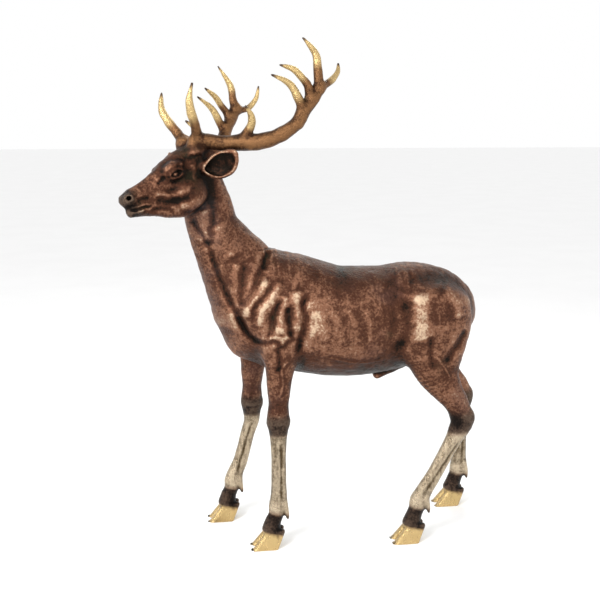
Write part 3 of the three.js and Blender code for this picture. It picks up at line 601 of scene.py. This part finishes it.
def sample(ops):
    """The field on a grid. Only blocks near the surface are sampled at every point."""
    lo = np.min([op.lo for op in ops], 0)
    hi = np.max([op.hi for op in ops], 0)
    lo[2] = -4 * CELL
    step = BLOCK * CELL
    n = np.ceil((hi - lo) / step).astype(int)
    block = np.stack(np.meshgrid(*(np.arange(c) for c in n), indexing="ij"), -1).reshape(-1, 3)
    about = in_chunks(ops, lo + (block + 0.5 - 0.5 / BLOCK) * step)
    values = about.reshape(n).astype(np.float32)
    for axis in range(3):
        values = values.repeat(BLOCK, axis)
    active = block[np.abs(about) < 1.3 * step + 10]
    inner = np.stack(np.meshgrid(*[np.arange(BLOCK)] * 3, indexing="ij"), -1).reshape(-1, 3)
    points = (active[:, None] * BLOCK + inner).reshape(-1, 3)
    values[tuple(points.T)] = in_chunks(ops, lo + points * CELL)
    return lo, values


def surface_net(lo, values):
    """One vertex in each cell that the surface crosses, and one quad for each grid edge that it crosses."""
    for axis in range(3):
        ends = [slice(None)] * 3
        for end in (0, -1):
            ends[axis] = end
            values[tuple(ends)] = FAR
    inside = values < 0
    corners = [(i, j, k) for i in (0, 1) for j in (0, 1) for k in (0, 1)]
    cut = lambda a, c: a[tuple(slice(o, a.shape[n] - 1 + o) for n, o in enumerate(c))]
    count = sum(cut(inside, c).astype(np.uint8) for c in corners)
    cells = np.argwhere((count > 0) & (count < 8))
    index = np.full(count.shape, -1, np.int32)
    index[tuple(cells.T)] = np.arange(len(cells))
    total = np.zeros((len(cells), 3))
    crossed = np.zeros(len(cells))
    for a in corners:
        for axis in range(3):
            if a[axis]:
                continue
            b = list(a)
            b[axis] = 1
            va = values[tuple((cells + a).T)].astype(float)
            vb = values[tuple((cells + b).T)].astype(float)
            hit = (va < 0) != (vb < 0)
            t = np.where(hit, va / np.where(hit, va - vb, 1), 0)
            total[hit] += np.array(a) + t[hit, None] * (np.array(b) - np.array(a))
            crossed += hit
    vertices = lo + (cells + total / crossed[:, None]) * CELL
    quads = []
    for axis in range(3):
        ahead = np.roll(inside, -1, axis)
        edges = np.argwhere(inside != ahead)
        here = inside[tuple(edges.T)]
        u, w = np.eye(3, dtype=int)[(axis + 1) % 3], np.eye(3, dtype=int)[(axis + 2) % 3]
        quad = np.stack([index[tuple((edges - o).T)] for o in (u + w, w, 0 * u, u)], 1)
        quad[~here] = quad[~here][:, ::-1]
        quads.append(quad)
    return vertices, np.concatenate(quads)


def mesh_object(name, vertices, faces):
    mesh = bpy.data.meshes.new(name)
    mesh.from_pydata(vertices.tolist(), [], faces.tolist())
    mesh.validate()
    made = bpy.data.objects.new(name, mesh)
    bpy.context.scene.collection.objects.link(made)
    return made


def thinned(piece, faces):
    mesh = piece.data
    triangles = sum(len(f.vertices) - 2 for f in mesh.polygons)
    if triangles > faces:
        modifier = piece.modifiers.new("thin", "DECIMATE")
        modifier.ratio = faces / triangles
        made = bpy.data.meshes.new_from_object(piece.evaluated_get(bpy.context.evaluated_depsgraph_get()))
        piece.modifiers.clear()
        piece.data = made
        bpy.data.meshes.remove(mesh)


# ------------------------------------------------------------------------------------------------
# What the patina reads: relief at two scales with painted highlights and shade, and the statue's regions
# ------------------------------------------------------------------------------------------------
def relief(mesh, p):
    """How raised (> 0) or sheltered (< 0) each vertex is, fine and broad, and the vertex normals."""
    edges = np.empty(len(mesh.edges) * 2, np.int32)
    mesh.edges.foreach_get("vertices", edges)
    edges = edges.reshape(-1, 2)
    degree = np.bincount(edges.ravel(), minlength=len(p)).clip(1)[:, None]

    def average(v):
        out = np.zeros_like(v)
        for a, b in ((0, 1), (1, 0)):
            for c in range(v.shape[1]):
                out[:, c] += np.bincount(edges[:, a], v[edges[:, b], c], len(p))
        return out / degree

    normals = np.empty(len(p) * 3, np.float32)
    mesh.vertices.foreach_get("normal", normals)
    normals = normals.reshape(-1, 3)
    levels = []
    q = p.copy()
    for rounds in (4, 40):
        for _ in range(rounds):
            q = average(q)
        levels.append(((p - q) * normals).sum(1))
    fine, broad = levels
    spread = lambda v: np.clip(v / (2.2 * np.std(v) + 1e-9), -1, 1)
    return spread(fine), spread(broad), normals


def lattice_noise(p, size, seed):
    """Smooth random values in [-1, 1] that change over about `size` millimetres."""
    grid = np.random.default_rng(seed).uniform(-1, 1, (64, 64, 64))
    q = p / size
    cell = np.floor(q).astype(int)
    t = q - cell
    t = t * t * (3 - 2 * t)
    out = np.zeros(len(p))
    for i in (0, 1):
        for j in (0, 1):
            for k in (0, 1):
                weight = np.abs(1 - i - t[:, 0]) * np.abs(1 - j - t[:, 1]) * np.abs(1 - k - t[:, 2])
                out += weight * grid[tuple((cell + (i, j, k)).T % 64)]
    return out


def tooled(p, normals):
    """The modelling tool's marks: shallow facets over the body, half as deep on the legs, none on the hooves and
    shallower high on the antlers.
    """
    marks = 1.5 * lattice_noise(p, 26, 3) + 0.9 * lattice_noise(p, 12, 5)
    legs = 1 - smooth(500, 640, p[:, 2])
    still = np.maximum(1 - smooth(90, 130, p[:, 2]), smooth(1700, 1750, p[:, 2]) * 0.4)
    return p + normals * (marks * (1 - 0.5 * legs) * (1 - still))[:, None]


def along(p, rows):
    """Distance to the polyline `rows`, and how far along it, from 0 to 1."""
    rows = np.asarray(rows, float)[:, :3]
    span = np.linalg.norm(np.diff(rows, axis=0), axis=1)
    starts = np.concatenate([[0], np.cumsum(span)])
    best, where = np.full(len(p), FAR), np.zeros(len(p))
    for i, length in enumerate(span):
        t = (rows[i + 1] - rows[i]) / length
        r = p - rows[i]
        h = np.clip(r @ t, 0, length)
        d = np.linalg.norm(r - h[:, None] * t, axis=1)
        closer = d < best
        best[closer] = d[closer]
        where[closer] = (starts[i] + h[closer]) / starts[-1]
    return best, where


def regions(p):
    """Masks in [0, 1]: gold (polished), pale (cannons), dark (bands, muzzle, pasterns), horn (antlers)."""
    gold, pale, dark, horn = (np.zeros(len(p)) for _ in range(4))
    legs = p[:, 2] < 640
    for name, (cx, cy) in HOOF.items():
        near = legs & (np.abs(p[:, 1] - cy) < 95) & (np.abs(p[:, 0] - cx) < 420)
        near &= (p[:, 0] < 250) == (cx < 250)
        if name.startswith("front"):
            near &= (p[:, 1] < 0) == (cy < 0)
        z = p[:, 2]
        joint = KNEE_Z if name.startswith("front") else HOCK_Z
        slope = (p[:, 0] - cx) * 0.22
        hoof = 1 - smooth(CORONET_Z - 22, CORONET_Z - 8, z + slope)
        band = smooth(joint - 62, joint - 40, z) * (1 - smooth(joint + 15, joint + 60, z))
        pastern = smooth(CORONET_Z - 22, CORONET_Z - 8,
                         z + slope) * (1 - smooth(FETLOCK_Z - 34, FETLOCK_Z - 8, z + slope * 0.4))
        cannon = smooth(FETLOCK_Z - 30, FETLOCK_Z - 5,
                        z + slope * 0.4) * (1 - smooth(joint - 62, joint - 40, z))
        gold[near] = np.maximum(gold, hoof)[near]
        dark[near] = np.maximum(dark, np.maximum(band, pastern))[near]
        pale[near] = np.maximum(pale, cannon)[near]
    head = HEAD.local(p)
    dark = np.maximum(dark, smooth(330, 375,
                                   head[:, 0]) * (np.abs(head[:, 1]) < 80) * (np.abs(head[:, 2]) < 120))
    for s in (LEFT, RIGHT):
        for name in ANTLER:
            rows = resample(antler_rows(s, name), 10)
            d, t = along(p, rows)
            r = np.interp(t, np.linspace(0, 1, len(rows)), rows[:, 3])
            near = d < r + 10
            horn[near] = np.maximum(horn[near], 1 if name != "beam" else smooth(0.02, 0.08, t[near]))
            if name != "beam":
                shine = smooth(0.3, 0.5, t) * (1 - smooth(0.88, 0.98, t))
                gold[near] = np.maximum(gold[near], shine[near])
                dark[near] = np.maximum(dark[near], smooth(0.88, 0.98, t[near]))
    return gold, pale, dark, horn


# Painted highlights (> 0) and painted shade (< 0), where the statue is lighter or darker than its relief alone
# makes it: among them the lit wedge of the neck, the glint in the eye, and the shade round the eye, behind the
# jaw and under the belly.
# Each row is frame, forward, up, two radii, amount.
PAINTED_HIGHLIGHTS_AND_SHADE = [
    (BODY, 378, 1330, 30, 95, 1.0), (BODY, 300, 1200, 90, 120, 0.25), (BODY, 150, 1010, 120, 115, 0.30),
    (BODY, -45, 950, 55, 95, 0.35), (BODY, -465, 960, 50, 150, 0.30), (BODY, -250, 1165, 420, 50, -0.22),
    (BODY, -150, 700, 320, 55, -0.60), (BODY, 120, 800, 60, 60, -0.10), (BODY, -560, 1090, 140, 60, -0.25),
    (BODY, 420, 1180, 40, 170, -0.45), (BODY, -345, 950, 45, 150, -0.35), (BODY, 110, 700, 60, 70, 0.15),
    (HEAD, 182, 8, 46, 34, -0.95), (HEAD, 204, -30, 30, 14, 0.60), (HEAD, 230, -52, 90, 18, 0.30),
    (HEAD, 225, -92, 80, 16, -0.55), (HEAD, 205, -118, 32, 16, 0.45), (HEAD, 62, -95, 30, 62, -1.0),
    (HEAD, 300, -15, 50, 26, -0.10), (HEAD, 186, 5, 6, 4, 1.6), (HEAD, 140, -85, 50, 55, -0.45),
    (HEAD, 90, 40, 60, 40, -0.35), (HEAD, 362, -30, 14, 12, 0.45),
]


def tone_of(p, normals, fine, broad):
    tone = 0.42 * broad + 0.62 * fine
    # Painted shade: faces turned down are much darker, and faces turned up a little darker.
    tone -= 0.50 * smooth(0.15, 0.9, -normals[:, 2]) + 0.20 * smooth(0.5, 0.95, normals[:, 2])
    head = HEAD.local(p)
    on_head = (head[:, 0] > 20) & (np.abs(head[:, 1]) < 80)
    # Painted highlights and painted shade, patch by patch.
    for place, forward, up, rf, ru, amount in PAINTED_HIGHLIGHTS_AND_SHADE:
        q = place.local(p)
        patch = amount * np.exp(-((q[:, 0] - forward) / rf) ** 2 - ((q[:, 2] - up) / ru) ** 2)
        tone += patch * (on_head if place is HEAD else ~on_head)
    # Painted shade darkens the hollow of each ear.
    for s, swing in ((LEFT, 0), (RIGHT, EAR_SWING)):
        inward = normals @ unit(0.82 * HEAD.forward + s * 0.57 * HEAD.left)
        out = s * head[:, 1]
        in_ear = (out > 78) & (out < 190) & (head[:, 0] < 70 + swing * 130) & (np.abs(head[:, 2] + 20) < 75)
        tone -= 0.1 * in_ear * smooth(0.1, 0.5, inward)
    return np.clip(tone, -1, 1)


def paint(mesh, name, columns):
    layer = mesh.color_attributes.new(name, "FLOAT_COLOR", "POINT")
    data = np.ones((len(mesh.vertices), 4), np.float32)
    for i, column in enumerate(columns):
        data[:, i] = column
    layer.data.foreach_set("color", data.ravel())


# ------------------------------------------------------------------------------------------------
# Materials
# ------------------------------------------------------------------------------------------------
class Nodes:
    """Short names for the nodes of a material's tree."""

    def __init__(self, material):
        material.use_nodes = True
        self.tree = material.node_tree
        self.shader = self.tree.nodes["Principled BSDF"]
        self.place = self.make("ShaderNodeTexCoord").outputs["Object"]

    def make(self, kind, **settings):
        node = self.tree.nodes.new(kind)
        for key, value in settings.items():
            setattr(node, key, value)
        return node

    def put(self, socket, value):
        if isinstance(value, bpy.types.NodeSocket):
            self.tree.links.new(value, socket)
        elif value is not None:
            socket.default_value = value

    def noise(self, scale, detail=4.0, roughness=0.55, stretch=None, distortion=0.0):
        node = self.make("ShaderNodeTexNoise")
        where = self.place
        if stretch:
            mapping = self.make("ShaderNodeMapping")
            mapping.inputs["Scale"].default_value = stretch
            self.put(mapping.inputs["Vector"], where)
            where = mapping.outputs["Vector"]
        self.put(node.inputs["Vector"], where)
        for key, value in (("Scale", scale), ("Detail", detail), ("Roughness", roughness),
                           ("Distortion", distortion)):
            node.inputs[key].default_value = value
        return node.outputs["Fac"]

    def math(self, operation, a, b=None, clamp=False):
        node = self.make("ShaderNodeMath", operation=operation, use_clamp=clamp)
        self.put(node.inputs[0], a)
        self.put(node.inputs[1], b)
        return node.outputs[0]

    def span(self, value, lo, hi, to_lo=0.0, to_hi=1.0):
        node = self.make("ShaderNodeMapRange", interpolation_type="SMOOTHSTEP")
        for i, v in enumerate((value, lo, hi, to_lo, to_hi)):
            self.put(node.inputs[i], v)
        return node.outputs[0]

    def mix(self, share, a, b, kind="MIX"):
        node = self.make("ShaderNodeMix", data_type="RGBA", blend_type=kind)
        self.put(node.inputs["Factor"], share)
        self.put(node.inputs["A"], a)
        self.put(node.inputs["B"], b)
        return node.outputs["Result"]

    def blend(self, share, a, b):
        node = self.make("ShaderNodeMix", data_type="FLOAT")
        self.put(node.inputs[0], share)
        self.put(node.inputs[2], a)
        self.put(node.inputs[3], b)
        return node.outputs[0]

    def channels(self, attribute):
        node = self.make("ShaderNodeAttribute", attribute_name=attribute)
        split = self.make("ShaderNodeSeparateColor")
        self.put(split.inputs[0], node.outputs["Color"])
        return split.outputs[0], split.outputs[1], split.outputs[2]

    def bump(self, height, distance, strength=1.0, normal=None):
        node = self.make("ShaderNodeBump")
        node.inputs["Strength"].default_value = strength
        node.inputs["Distance"].default_value = distance
        self.put(node.inputs["Height"], height)
        self.put(node.inputs["Normal"], normal)
        return node.outputs["Normal"]


# The bronze's patina, with painted highlights and painted shade read from the tone.
def patina_and_painted_light():
    material = bpy.data.materials.new("bronze_patina_and_painted_light")
    n = Nodes(material)
    gold, pale, dark = n.channels("regions")
    # The tone holds the relief together with painted highlights and painted shade.
    tone, horn, _ = n.channels("relief")
    clouds = n.noise(3.0, 5, 0.6)
    mottle = n.noise(24, 7, 0.68, distortion=0.5)
    speck = n.noise(110, 5, 0.7)
    streak = n.noise(55, 5, 0.65, stretch=(1.0, 1.0, 0.18))
    # How far the patina wears through to the metal at each place, together with painted highlights and painted
    # shade: its tone, broken up by mottle and specks.
    grain = n.math("ADD", n.math("MULTIPLY", n.math("SUBTRACT", mottle, 0.5), 1.15),
                   n.math("MULTIPLY", n.math("SUBTRACT", speck, 0.5), 1.25))
    wear_and_painted_light = n.math("ADD", tone, n.math("MULTIPLY", grain, 0.72))
    # From dark patina to bare pale metal: painted highlights reach the pale end and painted shade the dark end.
    base = n.mix(n.span(wear_and_painted_light, 0.14, 0.52), (0.0085, 0.0055, 0.0036, 1), (0.068, 0.0265, 0.0150, 1))
    base = n.mix(n.span(wear_and_painted_light, 0.52, 0.80), base, (0.225, 0.106, 0.062, 1))
    base = n.mix(n.span(wear_and_painted_light, 0.78, 1.08), base, (0.56, 0.41, 0.28, 1))
    base = n.mix(n.span(clouds, 0.54, 0.74, 0, 0.42), base, (0.056, 0.052, 0.058, 1))
    rosy = n.noise(6, 4, 0.6)
    base = n.mix(n.span(rosy, 0.55, 0.75, 0, 0.30), base, (0.105, 0.034, 0.018, 1))
    olive = n.noise(7.5, 4, 0.6, distortion=0.3)
    base = n.mix(n.span(olive, 0.58, 0.76, 0, 0.35), base, (0.040, 0.036, 0.018, 1))
    antler = n.mix(n.span(wear_and_painted_light, 0.30, 0.85), (0.034, 0.014, 0.007, 1), (0.200, 0.098, 0.042, 1))
    base = n.mix(horn, base, antler)
    black = n.mix(n.span(wear_and_painted_light, 0.45, 1.0), (0.005, 0.004, 0.0035, 1), (0.075, 0.050, 0.036, 1))
    base = n.mix(n.math("MULTIPLY", dark, 0.95), base, black)
    # Rubbing on the cannons and hooves, carrying the painted highlights and painted shade of the tone.
    rubbing_and_painted_light = n.math("ADD", n.math("MULTIPLY", wear_and_painted_light, 0.6), n.math("MULTIPLY", streak, 0.6))
    champagne = n.mix(n.span(rubbing_and_painted_light, 0.42, 0.92), (0.075, 0.050, 0.024, 1), (0.500, 0.410, 0.290, 1))
    base = n.mix(n.math("MULTIPLY", pale, 0.92), base, champagne)
    brass = n.mix(n.span(rubbing_and_painted_light, 0.22, 0.78), (0.105, 0.068, 0.026, 1), (0.540, 0.385, 0.175, 1))
    base = n.mix(gold, base, brass)
    n.put(n.shader.inputs["Base Color"], base)
    n.shader.inputs["Metallic"].default_value = 0.92
    rough = n.span(mottle, 0.3, 0.7, 0.33, 0.50)
    rough = n.blend(n.math("MAXIMUM", gold, pale), rough, n.span(streak, 0.3, 0.7, 0.20, 0.36))
    n.put(n.shader.inputs["Roughness"], rough)
    normal = n.bump(speck, 0.0045, 0.75)
    normal = n.bump(mottle, 0.012, 0.5, normal)
    n.put(n.shader.inputs["Normal"], normal)
    return material


def plain(name, colour, roughness):
    material = bpy.data.materials.new(name)
    n = Nodes(material)
    tint = n.mix(n.span(n.noise(1.5, 3), 0.3, 0.7, 0, 0.04), colour, (0.5, 0.5, 0.5, 1))
    n.put(n.shader.inputs["Base Color"], tint)
    n.shader.inputs["Roughness"].default_value = roughness
    return material


# ------------------------------------------------------------------------------------------------
# The statue
# ------------------------------------------------------------------------------------------------
lo, values = sample(stag())
vertices, quads = surface_net(lo, values)
vertices[:, 2] = np.maximum(vertices[:, 2], 0)
middle = (vertices.min(0) + vertices.max(0)) / 2
cad_middle = (np.array(cad_lo) + np.array(cad_hi)) / 2
shift = np.array([cad_middle[0] * 1000 - middle[0], cad_middle[1] * 1000 - middle[1], 0.0])
sculpture = mesh_object("stag_sculpture", (vertices + shift) / 1000, quads)
thinned(sculpture, FACES)

mesh = sculpture.data
mesh.shade_smooth()
points = np.empty(len(mesh.vertices) * 3, np.float32)
mesh.vertices.foreach_get("co", points)
points = points.reshape(-1, 3).astype(float) * 1000 - shift
fine, broad, normals = relief(mesh, points)
gold, pale, dark, horn = regions(points)
paint(mesh, "regions", (gold, pale, dark))
# The tone stored here is the relief with painted highlights and painted shade.
paint(mesh, "relief", (tone_of(points, normals, fine, broad) * 0.5 + 0.5, horn))
final = np.maximum(tooled(points, normals) + shift, (-FAR, -FAR, 0)) / 1000
mesh.vertices.foreach_set("co", np.clip(final, cad_lo, cad_hi).astype(np.float32).ravel())
mesh.update()
mesh.materials.clear()
mesh.materials.append(patina_and_painted_light())

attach(sculpture, "root")
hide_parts(NODE)

# ------------------------------------------------------------------------------------------------
# Floor, light and camera, in metres
# ------------------------------------------------------------------------------------------------
ORIGIN = Vector(shift / 1000)  # the modelling's origin in the row frame

floor = mesh_object("floor", np.array([(-60, -60, 0), (60, -60, 0), (60, 60, 0), (-60, 60, 0)], float),
                    np.array([[0, 1, 2, 3]]))
floor.data.materials.append(plain("floor_paper", (0.97, 0.97, 0.97, 1), 0.9))

world = bpy.data.worlds.new("studio")
world.use_nodes = True
tree = world.node_tree
background = tree.nodes["Background"]
direction = tree.nodes.new("ShaderNodeTexCoord").outputs["Generated"]
height = tree.nodes.new("ShaderNodeSeparateXYZ")
sky = tree.nodes.new("ShaderNodeMapRange")
tree.links.new(direction, height.inputs[0])
tree.links.new(height.outputs["Z"], sky.inputs["Value"])
for socket, value in (("From Min", 0.2), ("From Max", 0.9), ("To Min", 1.0), ("To Max", 0.92)):
    sky.inputs[socket].default_value = value
tree.links.new(sky.outputs["Result"], background.inputs["Strength"])
background.inputs["Color"].default_value = (1.0, 1.0, 1.0, 1)
bpy.context.scene.world = world


def area_light(name, place, aim, energy, size, colour=(1, 1, 1)):
    data = bpy.data.lights.new(name, "AREA")
    data.energy, data.size, data.color, data.shape = energy, size, colour, "DISK"
    lamp = bpy.data.objects.new(name, data)
    lamp.location = place
    lamp.rotation_euler = (Vector(aim) - Vector(place)).to_track_quat("-Z", "Y").to_euler()
    bpy.context.scene.collection.objects.link(lamp)


area_light("key", (-2.4, -2.6, 3.2), (0, 0, 1.1), 150, 2.0)
area_light("fill", (2.8, -3.0, 2.0), (0, 0, 0.9), 35, 2.2)
area_light("rim", (1.2, 2.6, 3.4), (0, 0, 1.2), 30, 1.6, (0.95, 1.0, 0.92))

camera_data = bpy.data.cameras.new("camera")
camera_data.sensor_width = 36
camera_data.lens = 51
camera = bpy.data.objects.new("camera", camera_data)
camera.location = ORIGIN + Vector((-0.473, -3.367, 1.7))
camera.rotation_euler = (ORIGIN + Vector((0, 0, 1.0)) - camera.location).to_track_quat("-Z", "Y").to_euler()
bpy.context.scene.collection.objects.link(camera)
bpy.context.scene.camera = camera
bpy.context.scene.view_settings.view_transform = "Standard"
